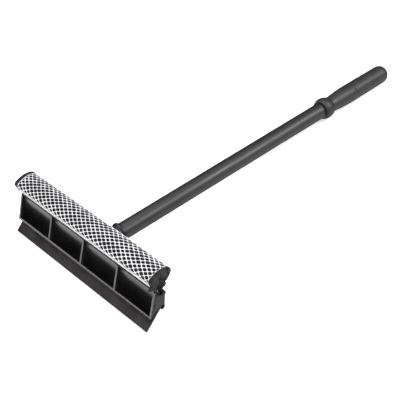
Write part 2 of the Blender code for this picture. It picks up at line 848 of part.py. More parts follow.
def make_rail(parent, origin):
    """Channel that slides in the head's slot and holds the sponge's neck and the net's edges."""
    start = STOP_FACE + GAP
    end = HEAD_LENGTH / 2
    rail = prism("sponge_rail", rail_section(), end - start, (start + end) / 2)
    neck_pin_holes(rail, NECK_PIN_RADIUS + GAP)
    return finish(rail, "black_plastic", origin, parent)


def make_sponge(parent, origin):
    """Foam cap with a narrow neck."""
    sponge = prism("sponge", sponge_outline(), SPONGE_LENGTH)
    neck_pin_holes(sponge, NECK_PIN_RADIUS + GAP)
    return finish(sponge, "foam", origin, parent)


def make_net(parent, origin):
    """Net over the sponge, its two edges down in the rail."""
    outline = sponge_outline()
    inner = offset_path(outline, GAP)
    outer = offset_path(outline, GAP + NET_THICKNESS)
    net = prism("net_cover", outer + inner[::-1], SPONGE_LENGTH - 2 * NET_END_MARGIN)
    neck_pin_holes(net, NECK_PIN_RADIUS + GAP)
    return finish(net, "net", origin, parent)


def make_neck_pins(parent):
    """Pins through the rail's walls, the net's edges and the sponge's neck."""
    turn = Matrix.Rotation(-PANEL_LEAN, 3, 'X')
    y, z = on_panel(RAIL_UP + NECK_PIN_UP, NECK_BACK)
    length = RAIL_REAR - RAIL_FRONT
    for number, x in enumerate(neck_pin_positions(), start=1):
        pin = rod(f"neck_pin_{number}", NECK_PIN_RADIUS, length, (x, y, z), turn, 16)
        finish(pin, "steel", (x, y, z), parent)


# ---------- blade ----------

def blade_section():
    """Closed section of the blade: square wiping edge, flat strip and round bead."""
    half = math.degrees(math.asin(BLADE_THICKNESS / 2 / BEAD_RADIUS))
    section = [on_blade(0, -BLADE_THICKNESS), on_blade(0, 0)]
    section += bead_arc(BEAD_RADIUS, 180 - half, half - 180, 24)
    return section


def make_blade(parent, origin):
    """Rubber blade, its origin on the bead's axis."""
    blade = prism("blade", blade_section(), BLADE_LENGTH)
    return finish(blade, "blade_rubber", origin, parent)


# ---------- handle ----------

def make_tube(parent):
    """Hollow tube from the socket's floor to the grip's flange."""
    start = socket_bottom() + GAP
    end = grip_start() - GAP
    bore = TUBE_RADIUS - TUBE_WALL
    edge = TUBE_WALL / 4
    profile = [
        (bore, start),
        (TUBE_RADIUS - edge, start),
        (TUBE_RADIUS, start + edge),
        (TUBE_RADIUS, end - edge),
        (TUBE_RADIUS - edge, end),
        (bore, end),
    ]
    tube = place(lathe("handle_tube", profile), (0, 0, HANDLE_HEIGHT))
    cut(tube, handle_screw_hole(SCREW_SHANK_RADIUS + GAP))
    return finish(tube, "tube_plastic", (0, start, HANDLE_HEIGHT), parent)


def make_tube_plug(parent):
    """Plug inside the tube's end, which the handle screw bites into."""
    radius = TUBE_RADIUS - TUBE_WALL - GAP
    start = socket_bottom() + GAP
    edge = TUBE_WALL / 3
    profile = [
        (0, start),
        (radius - edge, start),
        (radius, start + edge),
        (radius, start + PLUG_LENGTH - edge),
        (radius - edge, start + PLUG_LENGTH),
        (0, start + PLUG_LENGTH),
    ]
    plug = place(lathe("tube_plug", profile, 32), (0, 0, HANDLE_HEIGHT))
    cut(plug, handle_screw_hole(SCREW_SHANK_RADIUS + GAP))
    return finish(plug, "black_plastic", (0, start, HANDLE_HEIGHT), parent)


def make_handle_screw(parent):
    """Screw up through the socket's wall and the tube into the plug."""
    screw = lathe("handle_screw", screw_profile(HANDLE_SCREW_LENGTH), SMALL_STEPS)
    origin = (0, handle_screw_y(), HANDLE_HEIGHT - SOCKET_RADIUS - GAP)
    place(screw, origin, Matrix.Rotation(math.radians(-90), 3, 'X'))
    return finish(screw, "steel", origin, parent)


def grip_start():
    """The y of the flange's front, where the tube ends."""
    return socket_bottom() + HANDLE_LENGTH


def grip_radius(run):
    """Outside radius of the grip at a distance from its front, up to where its dome starts."""
    if run < FLANGE_WIDTH:
        t = run / FLANGE_WIDTH
        bump = math.sin(math.pi * t ** 0.85) ** 0.62
        base = TUBE_RADIUS + (GRIP_NECK_RADIUS - TUBE_RADIUS) * t
        return base + (FLANGE_RADIUS - base) * bump
    if run < SWELL_START:
        return GRIP_NECK_RADIUS
    t = min((run - SWELL_START) / SWELL_RUN, 1.0)
    swell = GRIP_NECK_RADIUS + (GRIP_SWELL_RADIUS - GRIP_NECK_RADIUS) * math.sin(t * math.pi / 2)
    rest = max(run - SWELL_START - SWELL_RUN, 0.0)
    fade = min(rest / (GRIP_LENGTH - GRIP_DOME - SWELL_START - SWELL_RUN), 1.0)
    return swell + (GRIP_END_RADIUS - GRIP_SWELL_RADIUS) * fade * fade * (3 - 2 * fade)


def grip_outside():
    """Outside profile of the grip, from the flange's front to the tip of its dome."""
    raised = FLANGE_WIDTH - FRONT_GROOVE_WIDTH
    flange = [FRONT_GROOVE_WIDTH + raised * i / 13 for i in range(14)]
    body_end = GRIP_LENGTH - GRIP_DOME
    body = [SWELL_START + (body_end - SWELL_START) * i / 16 for i in range(17)]
    groove = TUBE_RADIUS - FRONT_GROOVE_DEPTH
    profile = [(groove, grip_start()), (groove, grip_start() + FRONT_GROOVE_WIDTH)]
    profile += [(grip_radius(run), grip_start() + run) for run in flange + body]
    power = 2.5
    steps = 9
    for i in range(1, steps):
        t = math.sin(math.pi / 2 * i / steps)
        radius = GRIP_END_RADIUS * (1 - t ** power) ** (1 / power)
        profile.append((radius, grip_start() + body_end + GRIP_DOME * t))
    profile.append((0, grip_start() + GRIP_LENGTH))
    return profile


def grip_radial_box(name, radius, depth, width, start, length):
    """Box set radially in the grip, under the mould ridge's angle."""
    section_centre = (radius - depth / 2, start + length / 2, 0)
    mesh = bpy.data.meshes.new(name)
    shape = bmesh.new()
    bmesh.ops.create_cube(shape, size=1.0)
    bmesh.ops.scale(shape, verts=shape.verts, vec=(depth, length, width))
    shape.to_mesh(mesh)
    shape.free()
    box = place(link(name, mesh), section_centre)
    turn = Matrix.Rotation(-GRIP_RIDGE_ANGLE, 3, 'Y')
    return place(box, (0, 0, HANDLE_HEIGHT), turn)


def make_grip(parent):
    """Grip with a hand-stop flange, a spigot in the tube, a mould ridge and a small notch."""
    spigot = TUBE_RADIUS - TUBE_WALL - GAP
    start = grip_start()
    edge = TUBE_WALL / 3
    profile = [
        (0, start + GRIP_LENGTH - 3 * GRIP_DOME),
        (GRIP_BORE_RADIUS, start + GRIP_LENGTH - 3 * GRIP_DOME - GRIP_BORE_RADIUS / 2),
        (GRIP_BORE_RADIUS, start - SPIGOT_LENGTH),
        (spigot - edge, start - SPIGOT_LENGTH),
        (spigot, start - SPIGOT_LENGTH + edge),
        (spigot, start),
    ]
    grip = place(lathe("grip", profile + grip_outside()), (0, 0, HANDLE_HEIGHT))
    ridge_start = start + GRIP_RIDGE_START
    ridge_end = start + GRIP_LENGTH - GRIP_DOME * 0.8
    ridge_depth = GRIP_SWELL_RADIUS - GRIP_END_RADIUS + 4 * GRIP_RIDGE_PROUD
    join(grip, grip_radial_box("ridge", GRIP_SWELL_RADIUS + GRIP_RIDGE_PROUD / 2, ridge_depth,
                               GRIP_RIDGE_WIDTH, ridge_start, ridge_end - ridge_start))
    cut(grip, grip_radial_box("notch", GRIP_SWELL_RADIUS + NOTCH_DEPTH, 2 * NOTCH_DEPTH,
                              NOTCH_WIDTH, ridge_start - NOTCH_LENGTH, NOTCH_LENGTH))
    return finish(grip, "black_plastic", (0, start, HANDLE_HEIGHT), parent)


# ---------- assembly ----------

def world_points(pieces):
    """Every corner of every piece, in world coordinates."""
    bpy.context.view_layer.update()
    return [piece.matrix_world @ corner.co for piece in pieces for corner in piece.data.vertices]


def lay_down(root):
    """Tip the squeegee until blade and grip both touch z = 0, with the origin under its middle."""
    pieces = [item for item in bpy.data.objects if item.type == 'MESH']
    grip = bpy.data.objects["grip"]
    blade = bpy.data.objects["blade"]
    for _ in range(3):
        front = min(world_points([blade]), key=lambda point: point.z)
        back = min(world_points([grip]), key=lambda point: point.z)
        root.rotation_euler.x -= math.atan2(back.z - front.z, back.y - front.y)
    points = world_points(pieces)
    middle = (min(point.y for point in points) + max(point.y for point in points)) / 2
    lowest = min(point.z for point in points)
    root.location = (root.location.x, root.location.y - middle, root.location.z - lowest)


def main():
    """Build every piece of the squeegee."""
    for item in list(bpy.data.objects):
        bpy.data.objects.remove(item)
    root = holder("squeegee", (0, 0, 0))
    make_head_front(root)
    make_head_rear(root)
    make_head_screws(root)
    make_tube(root)
    make_tube_plug(root)
    make_handle_screw(root)
    make_grip(root)
    bead = (0, *around_bead(0, 0))
    blade_holder = holder("blade_slide", bead, root)
    make_blade(blade_holder, bead)
    seat = (0, *on_panel(RAIL_UP, NECK_BACK))
    rail_holder = holder("sponge_slide", seat, root)
    make_rail(rail_holder, seat)
    make_sponge(rail_holder, seat)
    make_net(rail_holder, seat)
    make_neck_pins(rail_holder)
    lay_down(root)


main()
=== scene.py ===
"""Looks of the windshield squeegee: finishes, the foam pad, its net and the studio.

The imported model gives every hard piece. The two soft ones, the foam pad and the net over it, are
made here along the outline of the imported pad. Lengths are in metres, and the squeegee lies with
its blade along X and its handle along +Y.
"""

import logging
import math
from dataclasses import dataclass, field
from enum import Enum

import bmesh
import bpy
import numpy as np
from mathutils import Matrix, Vector, noise


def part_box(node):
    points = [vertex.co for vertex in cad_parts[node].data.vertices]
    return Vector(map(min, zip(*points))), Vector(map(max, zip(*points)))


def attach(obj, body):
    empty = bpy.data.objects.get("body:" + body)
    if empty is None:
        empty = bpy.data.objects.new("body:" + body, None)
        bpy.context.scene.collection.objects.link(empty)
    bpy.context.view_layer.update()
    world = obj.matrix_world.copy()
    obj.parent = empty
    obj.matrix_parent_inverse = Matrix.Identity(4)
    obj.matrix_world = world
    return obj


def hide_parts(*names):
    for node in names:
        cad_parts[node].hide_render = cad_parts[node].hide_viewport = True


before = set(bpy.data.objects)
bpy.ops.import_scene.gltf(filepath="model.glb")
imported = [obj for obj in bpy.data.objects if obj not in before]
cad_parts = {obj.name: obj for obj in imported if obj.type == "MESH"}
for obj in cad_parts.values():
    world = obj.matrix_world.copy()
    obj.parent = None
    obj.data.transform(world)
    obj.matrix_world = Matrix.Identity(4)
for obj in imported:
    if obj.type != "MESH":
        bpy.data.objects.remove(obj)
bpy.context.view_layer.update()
MM = 0.001
WELD_DISTANCE = 1e-6
OUTLINE_SMOOTHING = 6
SEARCH_BATCH = 4000
# Names of two values on the foam's corners, from 0 to 1: how deep in a fold, how clear of the net.
# The foam's colour uses them to paint shade into the folds and onto the foam under the net.
CREASE = "crease"
BARE = "bare"

logging.basicConfig(level=logging.INFO, format="%(message)s")
LOG = logging.getLogger("squeegee")


class Grain(Enum):
    """Which way the fine marks of a finish run."""

    EVEN = (1.0, 1.0, 1.0)
    ALONG_X = (0.04, 1.0, 1.0)
    ALONG_Y = (1.0, 0.02, 1.0)
    ALONG_Z = (1.0, 1.0, 0.15)


# ---------- finishes ----------

class NodeGraph:
    """A material's node tree, with short calls to add nodes and join them."""

    def __init__(self, name: str, roughness: float, specular: float = 0.5) -> None:
        """Start a material with its shader and an object-space texture position.

        Args:
            name: The material's name.
            roughness: The shader's roughness where nothing else is joined to it.
            specular: The shader's specular level.
        """
        self.material = bpy.data.materials.new(name)
        self.material.use_nodes = True
        self.tree = self.material.node_tree
        self.shader = self.tree.nodes["Principled BSDF"]
        self.shader.inputs["Roughness"].default_value = roughness
        self.shader.inputs["Specular IOR Level"].default_value = specular
        self.place = self.add("ShaderNodeTexCoord").outputs["Object"]

    def add(self, kind: str, **inputs: object) -> bpy.types.Node:
        """Add a node and set its inputs.

        Args:
            kind: The node's type.
            **inputs: Socket names, with _ for a space, and a number or another node's output.

        Returns:
            The new node.
        """
        node = self.tree.nodes.new(kind)
        for key, value in inputs.items():
            socket = node.inputs[key.replace("_", " ")]
            if isinstance(value, bpy.types.NodeSocket):
                self.tree.links.new(value, socket)
            else:
                socket.default_value = value
        return node

    def stretched(self, grain: Grain) -> bpy.types.NodeSocket:
        """Texture position with its scale drawn out along the grain."""
        mapping = self.add("ShaderNodeMapping", Vector=self.place, Scale=grain.value)
        return mapping.outputs["Vector"]

    def noise(self, scale: float, detail: float = 2.0,
              place: bpy.types.NodeSocket | None = None) -> bpy.types.NodeSocket:
        """Soft noise from 0 to 1.

        Args:
            scale: Features per metre.
            detail: How many finer layers are on it.
            place: Where it is read, if not at the plain position.

        Returns:
            The noise's value.
        """
        node = self.add("ShaderNodeTexNoise", Vector=place or self.place, Scale=scale,
                        Detail=detail)
        return node.outputs["Fac"]

    def spread(self, value: bpy.types.NodeSocket, low: float, high: float,
               start: float = 0.35, end: float = 0.65) -> bpy.types.NodeSocket:
        """Map a value from start..end onto low..high.

        Args:
            value: The value.
            low: What start becomes.
            high: What end becomes.
            start: Where the value starts to count.
            end: Where it stops.

        Returns:
            The mapped value, kept between low and high.
        """
        node = self.add("ShaderNodeMapRange", Value=value)
        node.inputs["From Min"].default_value = start
        node.inputs["From Max"].default_value = end
        node.inputs["To Min"].default_value = low
        node.inputs["To Max"].default_value = high
        return node.outputs["Result"]

    def times(self, first: bpy.types.NodeSocket,
              second: bpy.types.NodeSocket) -> bpy.types.NodeSocket:
        """Multiply two values.

        Args:
            first: One value.
            second: The other.

        Returns:
            Their product.
        """
        node = self.add("ShaderNodeMath")
        node.operation = 'MULTIPLY'
        self.tree.links.new(first, node.inputs[0])
        self.tree.links.new(second, node.inputs[1])
        return node.outputs[0]

    def mixed(self, share: bpy.types.NodeSocket, first: object,
              second: object) -> bpy.types.NodeSocket:
        """Colour between two colours or colour outputs.

        Args:
            share: 0 for the first colour, 1 for the second.
            first: A colour of three numbers, or an output.
            second: The same.

        Returns:
            The mixed colour.
        """
        node = self.tree.nodes.new("ShaderNodeMix")
        node.data_type = 'RGBA'
        self.tree.links.new(share, node.inputs[0])
        for socket, colour in ((node.inputs[6], first), (node.inputs[7], second)):
            if isinstance(colour, bpy.types.NodeSocket):
                self.tree.links.new(colour, socket)
            else:
                socket.default_value = (*colour, 1.0)
        return node.outputs[2]

    def bump(self, height: bpy.types.NodeSocket, depth: float,
             below: bpy.types.NodeSocket | None = None) -> bpy.types.NodeSocket:
        """Make a bump that follows a height.

        Args:
            height: The height, from 0 to 1.
            depth: How far a height of 1 stands up, in metres.
            below: Another bump that this one lies on.

        Returns:
            The bumped normal.
        """
        node = self.add("ShaderNodeBump", Height=height, Distance=depth, Strength=1.0)
        if below is not None:
            self.tree.links.new(below, node.inputs["Normal"])
        return node.outputs["Normal"]

    def join(self, **outputs: bpy.types.NodeSocket) -> bpy.types.Material:
        """Join outputs to the shader's sockets.

        Args:
            **outputs: The sockets' names, with _ for a space, and what goes into each.

        Returns:
            The finished material.
        """
        for key, value in outputs.items():
            self.tree.links.new(value, self.shader.inputs[key.replace("_", " ")])
        return self.material


@dataclass(frozen=True)
class MouldedPlastic:
    """Black plastic with a fine moulded grain, faint flow clouds and soft scuffs."""

    name: str
    dark: tuple[float, float, float]
    pale: tuple[float, float, float]
    roughness: tuple[float, float]
    grain_depth: float
    grain: Grain = Grain.EVEN
    specular: float = 0.5
    cloud_scale: float = 55.0
    cloud_detail: float = 3.0
    grain_scale: float = 2600.0
    scuff_scale: float = 420.0
    scuff_detail: float = 4.0
    wave_share: float = 2.0

    def build(self) -> bpy.types.Material:
        """Make the material.

        Returns:
            The material.
        """
        graph = NodeGraph(self.name, self.roughness[0], self.specular)
        drawn = graph.stretched(self.grain)
        clouds = graph.noise(self.cloud_scale, self.cloud_detail, drawn)
        scuffs = graph.noise(self.scuff_scale, self.scuff_detail, drawn)
        fine = graph.noise(self.grain_scale, place=drawn)
        rough = graph.spread(scuffs, self.roughness[0], self.roughness[1])
        waves = graph.bump(clouds, self.grain_depth * self.wave_share)
        normal = graph.bump(fine, self.grain_depth, waves)
        return graph.join(Base_Color=self.colour(graph, clouds), Roughness=rough, Normal=normal)

    def colour(self, graph: NodeGraph, clouds: bpy.types.NodeSocket) -> bpy.types.NodeSocket:
        """The clouded black of the plastic."""
        return graph.mixed(graph.spread(clouds, 0.0, 1.0), self.dark, self.pale)


@dataclass(frozen=True)
class PaintedHighlightShell(MouldedPlastic):
    """The head's plastic, with a painted highlight on the ribs, the lip and the tops of the
    pockets, where they come up to the panel's face.

    face_place is at the foot of the panel's face, face_back points into the head from there, and
    face_up points up along the face. The highlight is painted along the face from just above its
    foot to just under its top strip.
    """

    # Colour of the painted highlight on the raised faces.
    painted_highlight: tuple[float, float, float] = (0.180, 0.170, 0.176)
    face_place: tuple[float, float, float] = (0.0, -0.26282, 0.01526)
    face_back: tuple[float, float, float] = (0.0, 0.9266, -0.3762)
    face_up: tuple[float, float, float] = (0.0, 0.3762, 0.9266)
    highlight_ramp: float = 0.25 * MM
    highlight_top: float = 32.6 * MM
    highlight_foot: float = 1.1 * MM
    foot_share: float = 0.12
    highlight_mottle_scale: float = 700.0
    highlight_mottle_detail: float = 3.0
    least_highlight: float = 0.55

    def along(self, graph: NodeGraph, way: tuple[float, float, float]) -> bpy.types.NodeSocket:
        """Measure along a direction from the foot of the panel's face.

        Args:
            graph: The material's nodes.
            way: The direction, of length 1.

        Returns:
            The distance.
        """
        away = graph.add("ShaderNodeVectorMath")
        away.operation = 'SUBTRACT'
        graph.tree.links.new(graph.place, away.inputs[0])
        away.inputs[1].default_value = self.face_place
        reach = graph.add("ShaderNodeVectorMath")
        reach.operation = 'DOT_PRODUCT'
        graph.tree.links.new(away.outputs["Vector"], reach.inputs[0])
        reach.inputs[1].default_value = way
        return reach.outputs["Value"]

    def colour(self, graph: NodeGraph, clouds: bpy.types.NodeSocket) -> bpy.types.NodeSocket:
        """Paint the highlight on the raised faces over the clouded black.

        Args:
            graph: The material's nodes.
            clouds: The plastic's cloud noise.

        Returns:
            The colour.
        """
        plain = super().colour(graph, clouds)
        # Painted highlight: faces near the panel's face get the pale colour, broken up by noise.
        highlight_mottle = graph.noise(self.highlight_mottle_scale, self.highlight_mottle_detail)
        proud = graph.spread(self.along(graph, self.face_back), 1.0, 0.0,
                             self.highlight_ramp, 2 * self.highlight_ramp)
        below = graph.spread(self.along(graph, self.face_up), 1.0, 0.0,
                             self.highlight_top, self.highlight_top + self.highlight_ramp)
        lip = graph.spread(self.along(graph, self.face_up), self.foot_share, 1.0,
                           self.highlight_foot, self.highlight_foot + self.highlight_ramp)
        raised = graph.times(graph.times(proud, below), lip)
        share = graph.times(raised, graph.spread(highlight_mottle, self.least_highlight, 1.0))
        return graph.mixed(share, plain, self.painted_highlight)


@dataclass(frozen=True)
class RubberStrip:
    """Matte rubber with a faint bloom, specks of dust and drawn lines along the strip."""

    name: str = "blade_rubber_matte"
    dark: tuple[float, float, float] = (0.013, 0.011, 0.012)
    bloom: tuple[float, float, float] = (0.032, 0.027, 0.030)
    dust: tuple[float, float, float] = (0.09, 0.08, 0.09)
    dust_share: float = 0.5
    roughness: tuple[float, float] = (0.55, 0.72)
    specular: float = 0.4
    line_scale: float = 900.0
    cloud_scale: float = 38.0
    speck_scale: float = 2200.0
    mark_depth: float = 0.03 * MM

    def build(self) -> bpy.types.Material:
        """Make the material.

        Returns:
            The material.
        """
        graph = NodeGraph(self.name, self.roughness[1], self.specular)
        drawn = graph.stretched(Grain.ALONG_X)
        lines = graph.noise(self.line_scale, place=drawn)
        clouds = graph.noise(self.cloud_scale, 4.0)
        specks = graph.noise(self.speck_scale, 1.0)
        colour = graph.mixed(graph.spread(clouds, 0.0, 1.0), self.dark, self.bloom)
        dusting = graph.spread(specks, 0.0, self.dust_share, 0.6, 0.8)
        dust_and_unshaded = graph.mixed(dusting, colour, self.dust)
        rough = graph.spread(lines, self.roughness[0], self.roughness[1])
        drawn_bump = graph.bump(lines, self.mark_depth)
        normal = graph.bump(specks, self.mark_depth, drawn_bump)
        return graph.join(Base_Color=dust_and_unshaded, Roughness=rough, Normal=normal)


@dataclass(frozen=True)
class OpenCellFoam:
    """Charcoal foam with small dark open cells, with painted shade in its folds and under the net:
    it is lighter where the net leaves it bare.
    """

    name: str = "foam_open_cell"
    cell: tuple[float, float, float] = (0.001, 0.001, 0.001)
    wall: tuple[float, float, float] = (0.024, 0.023, 0.023)
    streak: tuple[float, float, float] = (0.004, 0.004, 0.004)
    # Lighter colour where the net leaves the foam bare; the darker foam under the net is painted
    # shade.
    dust_and_unshaded: tuple[float, float, float] = (0.038, 0.035, 0.036)
    mottle: tuple[float, float, float] = (0.009, 0.008, 0.009)
    roughness: float = 0.95
    specular: float = 0.2
    sheen: float = 0.04
    sheen_roughness: float = 0.6
    cell_scale: float = 1150.0
    cell_depth: float = 0.45 * MM
    wall_range: tuple[float, float] = (0.12, 0.62)
    lump_scale: float = 300.0
    lump_depth: float = 0.8 * MM
    mottle_share: float = 0.55
    streak_scale: float = 420.0
    streak_share: float = 0.9
    detail: float = 3.0

    def build(self) -> bpy.types.Material:
        """Make the material.

        Returns:
            The material.
        """
        graph = NodeGraph(self.name, self.roughness, self.specular)
        wander = graph.noise(self.lump_scale, self.detail)
        drawn = graph.noise(self.streak_scale, self.detail, graph.stretched(Grain.ALONG_Z))
        crease = graph.add("ShaderNodeAttribute")
        crease.attribute_name = CREASE
        cells = graph.add("ShaderNodeTexVoronoi", Vector=graph.place, Scale=self.cell_scale)
        cells.inputs["Randomness"].default_value = 1.0
        distance = cells.outputs["Distance"]
        walls = graph.spread(distance, 0.0, 1.0, *self.wall_range)
        colour = graph.mixed(walls, self.cell, self.wall)
        mottled = graph.mixed(graph.spread(wander, 0.0, self.mottle_share), colour, self.mottle)
        bare = graph.add("ShaderNodeAttribute")
        bare.attribute_name = BARE
        # Painted shade: the foam under the net stays darker than where the net leaves it bare.
        dust_and_unshaded = graph.mixed(bare.outputs["Fac"], mottled, self.dust_and_unshaded)
        streaked = graph.mixed(graph.spread(drawn, 0.0, self.streak_share), dust_and_unshaded, self.streak)
        # Painted shade: the folds are darkened to the open cells' black by how deep in a crease
        # each corner is.
        crease_shaded = graph.mixed(crease.outputs["Fac"], streaked, self.cell)
        lumps = graph.bump(wander, self.lump_depth)
        normal = graph.bump(walls, self.cell_depth, lumps)
        graph.shader.inputs["Sheen Weight"].default_value = self.sheen
        graph.shader.inputs["Sheen Roughness"].default_value = self.sheen_roughness
        return graph.join(Base_Color=crease_shaded, Normal=normal)


@dataclass(frozen=True)
class KnittedYarn:
    """White knitted yarn: fine twisted fibres with slightly greyer gaps."""

    name: str = "net_white_yarn"
    white: tuple[float, float, float] = (0.87, 0.855, 0.875)
    shade: tuple[float, float, float] = (0.70, 0.68, 0.71)
    roughness: float = 0.75
    specular: float = 0.3
    sheen: float = 0.25
    sheen_roughness: float = 0.5
    twist_scale: float = 1500.0
    twist_turn: float = 0.9
    twist_tilt: tuple[float, float] = (0.3, 0.2)
    twist_depth: float = 0.10 * MM
    fibre_scale: float = 5200.0
    fibre_share: float = 0.4
    soiling_scale: float = 60.0
    soiling_share: float = 0.35

    def build(self) -> bpy.types.Material:
        """Make the material.

        Returns:
            The material.
        """
        graph = NodeGraph(self.name, self.roughness, self.specular)
        twists = []
        for turn in (self.twist_turn, -self.twist_turn):
            turned = graph.add("ShaderNodeMapping", Vector=graph.place)
            turned.inputs["Rotation"].default_value = (*self.twist_tilt, turn)
            wave = graph.add("ShaderNodeTexWave", Vector=turned.outputs["Vector"],
                             Scale=self.twist_scale / math.pi, Distortion=2.5, Detail=2.0)
            wave.inputs["Detail Scale"].default_value = 1.5
            twists.append(wave.outputs["Fac"])
        plies = graph.add("ShaderNodeMath")
        plies.operation = 'MAXIMUM'
        for socket, twist in zip(plies.inputs, twists):
            graph.tree.links.new(twist, socket)
        fibres = graph.noise(self.fibre_scale, 3.0)
        soiling = graph.noise(self.soiling_scale, 3.0)
        colour = graph.mixed(graph.spread(plies.outputs[0], 0.0, 1.0, 0.1, 0.7), self.shade,
                             self.white)
        tinted = graph.mixed(graph.spread(soiling, 0.0, self.soiling_share), colour, self.shade)
        normal = graph.bump(fibres, self.twist_depth * self.fibre_share,
                            graph.bump(plies.outputs[0], self.twist_depth))
        graph.shader.inputs["Sheen Weight"].default_value = self.sheen
        graph.shader.inputs["Sheen Roughness"].default_value = self.sheen_roughness
        return graph.join(Base_Color=tinted, Normal=normal)


@dataclass(frozen=True)
class PlatedSteel:
    """Plated steel of the screws and pins, lightly brushed."""

    name: str = "steel_plated"
    bright: tuple[float, float, float] = (0.56, 0.56, 0.57)
    dull: tuple[float, float, float] = (0.36, 0.35, 0.34)
    roughness: tuple[float, float] = (0.25, 0.45)
    stain_scale: float = 700.0
    brushing_scale: float = 4000.0
    brushing_depth: float = 0.02 * MM

    def build(self) -> bpy.types.Material:
        """Make the material.

        Returns:
            The material.
        """
        graph = NodeGraph(self.name, self.roughness[0])
        graph.shader.inputs["Metallic"].default_value = 1.0
        stains = graph.noise(self.stain_scale, 4.0)
        brushing = graph.noise(self.brushing_scale, place=graph.stretched(Grain.ALONG_X))
        colour = graph.mixed(graph.spread(stains, 0.0, 1.0), self.bright, self.dull)
        rough = graph.spread(stains, *self.roughness)
        return graph.join(Base_Color=colour, Roughness=rough,
                          Normal=graph.bump(brushing, self.brushing_depth))


@dataclass(frozen=True)
class PaleFloor:
    """Plain pale floor or dome, faintly uneven, with a glow of its own."""

    name: str = "floor_pale"
    colour: tuple[float, float, float] = (0.90, 0.90, 0.90)
    glow: float = 0.55
    roughness: float = 0.9
    cloud_scale: float = 3.0
    cloud_share: float = 0.985

    def build(self) -> bpy.types.Material:
        """Make the material.

        Returns:
            The material.
        """
        graph = NodeGraph(self.name, self.roughness, 0.0)
        clouds = graph.noise(self.cloud_scale)
        faint = tuple(channel * self.cloud_share for channel in self.colour)
        graph.shader.inputs["Emission Color"].default_value = (1.0, 1.0, 1.0, 1.0)
        graph.shader.inputs["Emission Strength"].default_value = self.glow
        return graph.join(Base_Color=graph.mixed(clouds, self.colour, faint))


# ---------- meshes ----------

def new_piece(name: str, shape: bmesh.types.BMesh, finish: bpy.types.Material) -> bpy.types.Object:
    """Turn a finished bmesh into a smooth-shaded piece.

    Args:
        name: The piece's name.
        shape: The mesh, which is freed.
        finish: The piece's material.

    Returns:
        The new object.
    """
    bmesh.ops.recalc_face_normals(shape, faces=shape.faces)
    mesh = bpy.data.meshes.new(name)
    shape.to_mesh(mesh)
    shape.free()
    mesh.materials.append(finish)
    mesh.shade_smooth()
    piece = bpy.data.objects.new(name, mesh)
    bpy.context.scene.collection.objects.link(piece)
    return piece


def keep_modifiers(piece: bpy.types.Object) -> None:
    """Make a piece's modified shape its own mesh.

    Args:
        piece: The piece, whose modifiers are used up.
    """
    bpy.context.view_layer.update()
    evaluated = piece.evaluated_get(bpy.context.evaluated_depsgraph_get())
    mesh = bpy.data.meshes.new_from_object(evaluated)
    piece.modifiers.clear()
    piece.data = mesh
    mesh.shade_smooth()


def vertex_array(piece: bpy.types.Object) -> np.ndarray:
    """Read a piece's corner positions.

    Args:
        piece: The piece.

    Returns:
        One row for each corner.
    """
    flat = np.zeros(len(piece.data.vertices) * 3, np.float64)
    piece.data.vertices.foreach_get("co", flat)
    return flat.reshape(-1, 3)


def set_vertices(piece: bpy.types.Object, points: np.ndarray) -> None:
    """Move a piece's corners to new positions."""
    piece.data.vertices.foreach_set("co", points.reshape(-1))
    piece.data.update()


